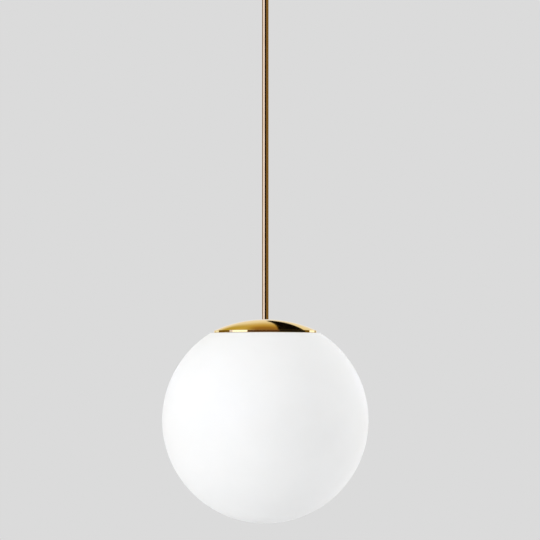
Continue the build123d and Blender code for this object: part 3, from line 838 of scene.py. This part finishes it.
# %% Spring arms
def make_bent_strip(sizes):
    """A flat strip along a line in the XZ plane, with rounded bends."""
    tree, start, size = geometry_tree("bent_strip", sizes, takes_geometry=True)
    line = add(tree, "GeometryNodeMeshToCurve", Mesh=start.outputs["Geometry"])
    bends = tree.nodes.new("GeometryNodeFilletCurve")
    bends.mode = "POLY"
    fill(bends, Curve=line.outputs[0], Radius=size["Bend"], Count=8)
    upright = add(tree, "GeometryNodeSetCurveNormal", Curve=bends.outputs[0])
    upright.mode = "Z_UP"
    section = add(tree, "GeometryNodeCurvePrimitiveQuadrilateral", Width=size["Width"], Height=size["Sheet"])
    sweep = add(tree, "GeometryNodeCurveToMesh", Curve=upright.outputs[0], Fill_Caps=True)
    fill(sweep, Profile_Curve=section.outputs[0])
    return close_tree(tree, start, sweep.outputs[0])


def line_mesh(points):
    """A mesh of edges through points."""
    mesh = bpy.data.meshes.new("line")
    mesh.from_pydata(points, [(k, k + 1) for k in range(len(points) - 1)], [])
    return mesh


strip_wide, strip_sheet, strip_count, strip_start = 14 * MM, 0.6 * MM, 3, pi / 3
strip_height = plate_low - strip_sheet / 2
strip_end, knee, mouth_pass = 38 * MM, 58 * MM, 67 * MM  # distances from the axis
elbow, elbow_gap = glass_top - 6.5 * MM, 1.0 * MM
elbow_reach = sqrt((inner_radius - elbow_gap) ** 2 - (elbow - inner_centre) ** 2 - (strip_wide / 2) ** 2)
tail_lean, tail_long = radians(40), 16 * MM
arm_line = [
    (strip_end, 0, strip_height),
    (knee, 0, strip_height),
    (mouth_pass, 0, elbow),
    (elbow_reach, 0, elbow),
    (elbow_reach - sin(tail_lean) * tail_long, 0, elbow - cos(tail_lean) * tail_long),
]
bent_strip = make_bent_strip({"Width": strip_wide, "Sheet": strip_sheet, "Bend": 2.5 * MM})
arm = grown(bent_strip, spring_steel, line_mesh(arm_line), 30)
arms = ring_of(arm, spring_steel, strip_count, strip_start, 30)
springs = [f"glass_spring_{k}" for k in (1, 2, 3)]
place("spring_arms", arms, spring_steel, "stem", *springs, slot="spring_steel")


# %% Rivets and gasket
def rivet(off_axis):
    """A rivet with a domed head on each side."""
    shank, head, crown_tall, under = 1.5 * MM, 2.8 * MM, 1.0 * MM, plate_low - strip_sheet
    crown = [(head * cos(a), crown_tall * sin(a)) for a in [pi / 2 * k / 8 for k in range(9)]]
    outline = [(r, under - h) for r, h in reversed(crown)] + [(shank, under), (shank, plate_high)]
    outline += [(r, plate_high + h) for r, h in crown]
    mesh = turned(outline, 32)
    mesh.transform(Matrix.Translation((off_axis, 0, 0)))
    return mesh


rivet_circles = 42.75 * MM, 50.75 * MM
rivet_pair = joined(*[rivet(off_axis) for off_axis in rivet_circles])
rivet_mesh = ring_of(rivet_pair, zinc, strip_count, strip_start, 30)
place("rivet_set", rivet_mesh, zinc, "stem", "spring_rivets", slot="zinc_steel")

(gasket_low, gasket_high), gasket_radius = span("glass_gasket"), reach("glass_gasket")
gasket_outline = rounded(
    (mouth_bore, gasket_low, 0.3 * MM),
    (gasket_radius, gasket_low, 0.3 * MM),
    (gasket_radius, gasket_high, 0.3 * MM),
    (mouth_bore, gasket_high, 0.3 * MM),
)
place("gasket_ring", turned(gasket_outline, 160), silicone, "stem", "glass_gasket", slot="gasket_silicone")

# %% [markdown]
# ## The lampholder
# A black moulded holder hangs on the stem's lower end: an upper half with a collar, and a skirt that screws
# on to it. The skirt has ribs for the fingers. One rib is made, and the ring of copies sets it round.

# %% Lampholder
holder_low, holder_top = span("lampholder_cap")
holder_radius, holder_bore, collar = 21 * MM, 19 * MM, 8 * MM
collar_low, side_top = holder_top - 10 * MM, holder_top - 19 * MM
roof = collar_low - 2 * MM  # upper end of the space inside


def shoulder(radius, height):
    """Outline points of the rounded shoulder, from the collar out to the straight side."""
    run, rise = radius - collar, height - side_top
    bend = (run * run + rise * rise) / (2 * run)
    return arc(radius - bend, side_top, bend, pi / 2 - asin(rise / bend), pi / 2, 16)


holder_outline = rounded(
    (stem_hole, holder_top, 0.3 * MM),
    (collar, holder_top, 0.6 * MM),
    (collar, collar_low - 0.2 * MM),
    *shoulder(holder_radius, collar_low)[1:],
    (holder_radius, holder_low, 0.4 * MM),
    (holder_bore, holder_low, 0.3 * MM),
    *reversed(shoulder(holder_bore, roof)),
    (stem_hole, roof),
)
place("holder_cap", turned(holder_outline, 128), bakelite, "stem", "lampholder_cap", slot="holder_plastic")

skirt_low, skirt_high = span("lampholder_skirt")
skirt_mouth, skirt_bore, skirt_neck = 19.6 * MM, 17 * MM, holder_bore - 0.05 * MM
band_end, rib_count = holder_low - 4 * MM, 48
skirt_outline = rounded(
    (skirt_bore, skirt_low, 0.5 * MM),
    (skirt_mouth, skirt_low, 0.6 * MM),
    (holder_radius, band_end, 2 * MM),
    (holder_radius, holder_low, 0.4 * MM),
    (skirt_neck, holder_low),
    (skirt_neck, skirt_high, 0.3 * MM),
    (skirt_bore, skirt_high, 0.3 * MM),
)


def make_rib(rows=17, columns=9):
    """One finger rib on the skirt's tapered face, rounded across and at both ends."""
    top, end = band_end - 3 * MM, skirt_low + 4 * MM
    raised, sunk, half_wide = 0.55 * MM, 0.15 * MM, 0.75 * MM
    points, faces = [], []
    for row in range(rows):
        share = row / (rows - 1)
        height = top + (end - top) * share
        face = skirt_mouth + (holder_radius - skirt_mouth) * (height - skirt_low) / (band_end - skirt_low)
        swell = sqrt(max(0.0, 1 - abs(2 * share - 1) ** 8))
        for k in range(columns):
            turn = pi * k / (columns - 1)
            points.append((face - sunk + raised * swell * sin(turn), half_wide * swell * cos(turn), height))
    for row in range(rows - 1):
        for k in range(columns):
            a, b = row * columns + k, row * columns + (k + 1) % columns
            faces.append((a, b, b + columns, a + columns))
    mesh = bpy.data.meshes.new("rib")
    mesh.from_pydata(points, [], faces)
    return tidy(mesh, 60)


skirt_mesh = joined(turned(skirt_outline, 144), ring_of(make_rib(), bakelite, rib_count, sharp=60))
place("holder_skirt", skirt_mesh, bakelite, "stem", "lampholder_skirt", slot="holder_plastic")

# %% [markdown]
# ## Screw threads
# The bulb's base and the socket round it are thin metal rolled into a soft wave that climbs one pitch a
# turn. That is a rule again: the radius rises and falls with height and with angle together. The same tree
# rolls both, and because both use the same wave they stay in step as the bulb unscrews.


# %% Rolled thread
def make_rolled_thread(sizes):
    """A sheet-metal sleeve with a rounded thread that fades out at its ends."""
    tree, start, size = geometry_tree("rolled_thread", sizes)
    top, bottom, gauge, cone, fade = (size[label] for label in ("Top", "Bottom", "Sheet", "Top Cone", "Fade"))
    top_radius, radius = size["Top Radius"], size["Outer Radius"]
    columns, hair = 97, 0.01 * MM

    def wall(inset):
        def shape(along, angle):
            height = top + (bottom - top) * along
            below_top = top - height
            body = top_radius + (radius - top_radius) * below_top.smooth(-hair, cone + hair)
            shown = (below_top - cone).smooth(0.0, fade) * (height - bottom).smooth(0.0, fade)
            wave = (height / size["Pitch"] * (2 * pi) - angle).cos() * 0.5 - 0.5 + size["Rise"]
            return body + wave * size["Depth"] * shown - gauge * inset, height

        return shape

    def lip(height, edge):
        def shape(along, angle):
            return edge - gauge * along, height + along * 0.0

        return shape

    skins = [
        skin(tree, columns, size["Rows"], wall(0.0)),
        skin(tree, columns, size["Rows"], wall(1.0)),
        skin(tree, columns, 2, lip(top, top_radius)),
        skin(tree, columns, 2, lip(bottom, radius)),
    ]
    return close_tree(tree, start, weld(tree, skins))


thread_sheet, thread_depth = 0.5 * MM, 0.9 * MM


def washer(bore, radius, top, *rounding):
    """A flat ring of the sleeve's own sheet. Its outer edges are rounded if asked."""
    under = top - thread_sheet
    outer = (radius, top, *rounding), (radius, under, *rounding)
    return turned(rounded((bore, top), *outer, (bore, under)), 96)


(base_low, base_high), base_radius = span("lamp_base"), 13.0 * MM
base_sizes = {"Top": base_high, "Bottom": base_low, "Outer Radius": base_radius - thread_depth}
base_sizes |= {"Top Radius": 10.5 * MM, "Top Cone": 3.0 * MM, "Sheet": thread_sheet, "Depth": thread_depth}
base_sizes |= {"Pitch": 25.4 / 7 * MM, "Rise": 1.0, "Fade": 2 * MM, "Rows": 121}
rolled_thread = make_rolled_thread(base_sizes)
base_mesh = joined(grown(rolled_thread, nickel), washer(4.6 * MM, 10.3 * MM, base_high))
place("lamp_base_rolled", base_mesh, nickel, "lamp", "lamp_base", slot="lamp_metal")

(shell_low, shell_high), shell_radius = span("edison_shell"), 13.95 * MM
shell_sleeve = grown(
    rolled_thread, plain_brass, Top=shell_high - 0.2 * MM, Bottom=shell_low, Outer_Radius=shell_radius,
    Top_Radius=shell_radius, Top_Cone=0.0, Rise=0.0, Rows=137,
)
shell_mesh = joined(shell_sleeve, washer(13.5 * MM, 15.95 * MM, shell_high, 0.2 * MM))
place("socket_shell", shell_mesh, plain_brass, "stem", "edison_shell", slot="contact_brass")

# %% [markdown]
# ## The bulb
# A round bulb with a white plastic neck and an opal ball. The neck flares from the screw base and runs into
# the ball without a step, so its outline ends along the ball's own slope. A fine groove marks the joint.

# %% Bulb
bulb_radius, bulb_wall = 30 * MM, 1.6 * MM
bulb_centre, join_height = low("lamp_diffuser") + bulb_radius, high("lamp_diffuser")
join_rise = join_height - bulb_centre
join_radius = sqrt(bulb_radius**2 - join_rise**2)
neck_height, neck_radius = base_low, 14 * MM
plug_radius, plug_top = base_radius - 1.5 * MM, neck_height + 1.0 * MM


def flare(radius, height, end_radius, end_height, steps=24):
    """Outline points of an arc that leaves the ball along its slope and ends at the neck."""
    slope = Vector((-join_rise, join_radius)).normalized()
    across = Vector((slope.y, -slope.x))
    chord = Vector((end_radius - radius, end_height - height))
    bend = chord.length_squared / (2 * chord.dot(across))
    middle = Vector((radius, height)) + across * bend
    spoke = Vector((radius, height)) - middle
    turn = spoke.angle_signed(Vector((end_radius, end_height)) - middle)
    return [tuple(middle + Matrix.Rotation(-turn * k / steps, 2) @ spoke) for k in range(steps + 1)]


def ball_end(radius):
    """Angle from straight up at which a ball of this radius reaches the joint."""
    return atan2(sqrt(radius**2 - join_rise**2), join_rise)


outer_flare = flare(join_radius, join_height, neck_radius, neck_height)
inner_flare = flare(join_radius - bulb_wall, join_height, plug_radius - bulb_wall, neck_height - bulb_wall)
housing_outline = rounded(
    (*outer_flare[0], 0.25 * MM),
    *outer_flare[1:-1],
    (*outer_flare[-1], 0.4 * MM),
    (plug_radius, neck_height),
    (plug_radius, plug_top),
    (plug_radius - bulb_wall, plug_top),
    *reversed(inner_flare),
)
place("bulb_neck", turned(housing_outline, 128), white_moulding, "lamp", "lamp_housing", slot="lamp_plastic")

inner_bulb = bulb_radius - bulb_wall
outer_ball = arc(0, bulb_centre, bulb_radius, pi, ball_end(bulb_radius), 64)
inner_ball = arc(0, bulb_centre, inner_bulb, ball_end(inner_bulb), pi, 48)
diffuser_outline = rounded(*outer_ball[:-1], (*outer_ball[-1], 0.25 * MM), *inner_ball)
place("bulb_ball", turned(diffuser_outline, 128), bulb_opal, "lamp", "lamp_diffuser", slot="lamp_opal")

# %% [markdown]
# ## Solid nodes that stay
# The parts deep inside keep their solid shapes and get a finish of their own. A node's finish goes into its
# material slots, and its mesh is left alone.

# %% Finishes for the inner parts
inner_finishes = {
    galvanised: ["ceiling_plate"],
    zinc: ["holder_plate", "block_screws", "earth_screw", "clamp_screws", "plate_lug", "stem_lug"],
    plain_brass: ["terminal_sleeves", "centre_contact"],
    nickel: ["lamp_contact"],
    bakelite: ["lamp_insulator"],
    porcelain: ["lampholder_insert"],
    block_white: ["terminal_block"],
    wire_brown: ["live_wire", "live_tail"],
    wire_blue: ["neutral_wire", "neutral_tail"],
    wire_green: ["earth_tail"],
}
for finish, names in inner_finishes.items():
    for name in names:
        nodes[name].data.materials.clear()
        nodes[name].data.materials.append(finish)
print(sum(len(names) for names in inner_finishes.values()), "solid nodes keep their shape")

# %% [markdown]
# ## The room and the light
# A mirror shows its room, so the room matters as much as the brass. Behind the lamp is a pale backdrop that
# turns amber, copper and umber higher up, and grey overhead. On the left stands a wide soft lamp, seen as
# the bright line on the stem. Straight ahead, where the camera stands, it is dark, and to the right the
# room is dim and warm. A dark panel, called a flag, makes the sharp wedge on the cap's right. Only glossy
# rays see this room. The camera sees a plain grey, and matt surfaces get a soft glow, brighter from above.
# Of the five soft lamps one is only mirrored, and the other four only shade.


# %% Room
def painted(colour, *layers):
    """Lays colours over a first one, each where its mask is 1."""
    for mask, paint in layers:
        colour = blend_colour(mask, colour, paint)
    return colour


def make_room():
    """World colours by direction, for the camera, for reflections and for soft light."""
    world = bpy.data.worlds.new("room")
    world.use_nodes = True
    tree = world.node_tree
    tree.nodes.clear()
    x, y, z = split(source(tree, "ShaderNodeTexCoord", "Generated"))
    backdrop, pale = (0.708, 0.708, 0.708, 1), (0.93, 0.98, 1.08, 1)
    amber, copper, umber = (0.62, 0.48, 0.16, 1), (0.35, 0.205, 0.055, 1), (0.1, 0.06, 0.04, 1)
    black, brown, grey = (0.003, 0.002, 0.001, 1), (0.2, 0.135, 0.02, 1), (0.62, 0.61, 0.58, 1)
    straw, olive = (0.62, 0.55, 0.2, 1), (0.56, 0.48, 0.11, 1)
    dusk, russet = (0.2, 0.16, 0.1, 1), (0.24, 0.155, 0.065, 1)
    glow_below, glow_above = (0.565, 0.565, 0.565, 1), (1.21, 1.21, 1.21, 1)
    left, above = x * -1.0, z.smooth(0.12, 0.35)
    aside = x.math("ABSOLUTE").smooth(0.32, 0.5)
    open_sky = left.smooth(-0.2, -0.05).math("MAXIMUM", z.smooth(0.5, 0.8))
    overhead = blend_colour(open_sky, dusk, grey)
    warm_side, brown_side = x.smooth(0.43, 0.55), left.smooth(0.37, 0.45)
    front = painted(black, (warm_side, russet), (brown_side, brown), (above, overhead))
    high_left = left.smooth(0.05, 0.14) * z.smooth(0.5, 0.6)
    low_left = left.smooth(0.05, 0.15) * z.smooth(0.26, 0.44) * z.smooth(0.54, 0.62).flipped()
    flag = (x - (z - 0.345) * 0.216).smooth(-0.004, 0.004) * (z - x * 1.35).smooth(0.262, 0.278)
    flag = flag * x.smooth(0.0, 0.01) * z.smooth(0.84, 0.97).flipped()
    back = painted(
        pale,
        (z.smooth(0.38, 0.62), amber), (z.smooth(0.58, 0.7), copper), (z.smooth(0.69, 0.84), umber),
        (high_left, straw), (low_left, olive), (z.smooth(0.8, 0.92), grey),
        (aside, brown), (aside * above, overhead), (flag, black),
    )
    seen = blend_colour(y.smooth(-0.1, 0.1), front, back)
    glow = blend_colour(z.math("MAXIMUM", 0.0), glow_below, glow_above)
    path = tree.nodes.new("ShaderNodeLightPath").outputs
    shown = Field(path["Is Camera Ray"]).math("MAXIMUM", path["Is Transmission Ray"])
    colour = painted(glow, (Field(path["Is Glossy Ray"]), seen), (shown, backdrop))
    light = add(tree, "ShaderNodeBackground", Color=colour)
    add(tree, "ShaderNodeOutputWorld", Surface=light.outputs[0])
    return world


scene.world = make_room()
scene.view_settings.view_transform = "Standard"
scene.cycles.diffuse_bounces = 12  # light bounces many times inside a white globe
print("world", scene.world.name, len(scene.world.node_tree.nodes), "nodes")


# %% Soft lamps
def soft_lamp(name, azimuth, distance, height, width, tall, radiance, tint=(1.0, 1.0, 1.0)):
    """An upright area lamp that faces the axis. Azimuth is from the camera's side, positive to the right."""
    data = bpy.data.lights.new(name, "AREA")
    data.shape = "RECTANGLE"
    data.size, data.size_y = width, tall
    data.energy = radiance * pi * width * tall
    data.color = tint
    lamp = added(name, data)
    lamp.location = (distance * sin(radians(azimuth)), -distance * cos(radians(azimuth)), height)
    aim = Vector((-lamp.location.x, -lamp.location.y, 0))
    lamp.rotation_euler = aim.to_track_quat("-Z", "Y").to_euler()
    lamp.visible_camera = False
    return lamp


mirrored_lamp = soft_lamp("left_mirrored_lamp", -56, 2.2, -0.15, 2.7, 0.8, 0.97, (0.9, 1.05, 2.15))
mirrored_lamp.visible_diffuse = False
shading_lamps = {  # azimuth, distance, height, width, tall, radiance
    "left_soft_lamp": (-42, 2.4, -1.08, 2.1, 1.5, 1.92),
    "left_back_lamp": (-115, 2.4, -0.75, 1.2, 1.2, 2.0),
    "front_fill_lamp": (-8, 2.4, -0.85, 3.0, 1.2, 0.64),
    "right_back_lamp": (114, 2.4, -0.7, 1.75, 1.2, 3.7),
}
for name, measures in shading_lamps.items():
    soft_lamp(name, *measures).visible_glossy = False

# %% [markdown]
# ## Cards and floor
# The cap's rim is upright and mirrors other parts of the room than the dome does. Five curved cards stand
# close to it. A card is clear to any ray that has come from farther off, so the rim alone mirrors them.
# The floor is clear from below and fades out with distance, so a camera that looks down sees no horizon.

# %% Cards
card_distance, card_sight = 0.45, 0.43  # from the axis, and how far a ray may come and still see a card
card_margin = 22 * MM
card_low, card_high = cap_rim - card_margin, outside[-1][1] + card_margin


def shown_where(shader, factor):
    """Mixes a shader with clear air: the surface shows where the factor is 1 and is clear where it is 0."""
    tree = factor.tree
    clear, mix = tree.nodes.new("ShaderNodeBsdfTransparent"), tree.nodes.new("ShaderNodeMixShader")
    for socket, value in zip(mix.inputs, (factor, clear.outputs[0], shader.outputs[0])):
        feed(socket, value)
    fill(tree.nodes["Material Output"], Surface=mix.outputs[0])


def mirrored_card(name, start, end, colour, steps=24):
    """A curved card beside the cap's rim, between two azimuths in degrees."""
    points = []
    for k in range(steps + 1):
        turn = radians(start + (end - start) * k / steps)
        points += [(card_distance * sin(turn), -card_distance * cos(turn), z) for z in (card_low, card_high)]
    mesh = bpy.data.meshes.new(name)
    mesh.from_pydata(points, [], [(k, k + 1, k + 3, k + 2) for k in range(0, 2 * steps, 2)])
    paint, tree, shader = new_material(name + "_paint", Roughness=1.0, Specular_IOR_Level=0.0)
    grain = noise(on_piece(tree), 6.0)
    darker = tuple(0.9 * value for value in colour)
    light = blend_colour(grain, (*colour, 1), (*darker, 1))
    fill(shader, Base_Color=(0, 0, 0, 1), Emission_Strength=1.0, Emission_Color=light)
    way_long = source(tree, "ShaderNodeLightPath", "Ray Length")
    shown_where(shader, way_long.math("LESS_THAN", card_sight))
    mesh.materials.append(paint)
    card = added(name, mesh)
    card.visible_camera = card.visible_diffuse = card.visible_shadow = card.visible_transmission = False


mirrored_card("left_end_card", -144, -121, (1.1, 1.3, 1.9))
mirrored_card("left_card", -73, -37.5, (1.7, 1.9, 2.8))
mirrored_card("brown_card", -37.5, 29, (0.12, 0.06, 0.025))
mirrored_card("black_card", 29, 94, (0.004, 0.003, 0.002))
mirrored_card("right_card", 110, 138, (1.5, 1.7, 2.5))
print("five cards for the rim to mirror")


# %% Floor
def make_floor(height, radius=12, near=2.0, far=10.0, steps=96):
    """A pale disc with a faint speckle that fades out between two distances."""
    turns = [2 * pi * k / steps for k in range(steps)]
    mesh = bpy.data.meshes.new("floor")
    mesh.from_pydata([(radius * cos(turn), radius * sin(turn), height) for turn in turns], [], [range(steps)])
    paint, tree, shader = new_material("floor_paint", Roughness=0.9)
    here = on_piece(tree)
    light, dark = (0.69, 0.69, 0.69, 1), (0.67, 0.67, 0.67, 1)
    fill(shader, Base_Color=blend_colour(noise(here, 40.0), dark, light))
    under = source(tree, "ShaderNodeNewGeometry", "Backfacing")
    across, along = split(here)[:2]
    far_off = (across * across + along * along).smooth(near**2, far**2)
    shown_where(shader, under.flipped() * far_off.flipped())
    mesh.materials.append(paint)
    return added("floor", mesh)


floor_drop = 1.2  # below the lamp
floor = make_floor(solid_low.z - floor_drop)
print("floor with", len(floor.data.vertices), "corners")

# %% [markdown]
# ## Last print
# The solid model's box is printed at the end.

# %% Finish
print("solid box", [round(v, 4) for v in (*solid_low, *solid_high)])
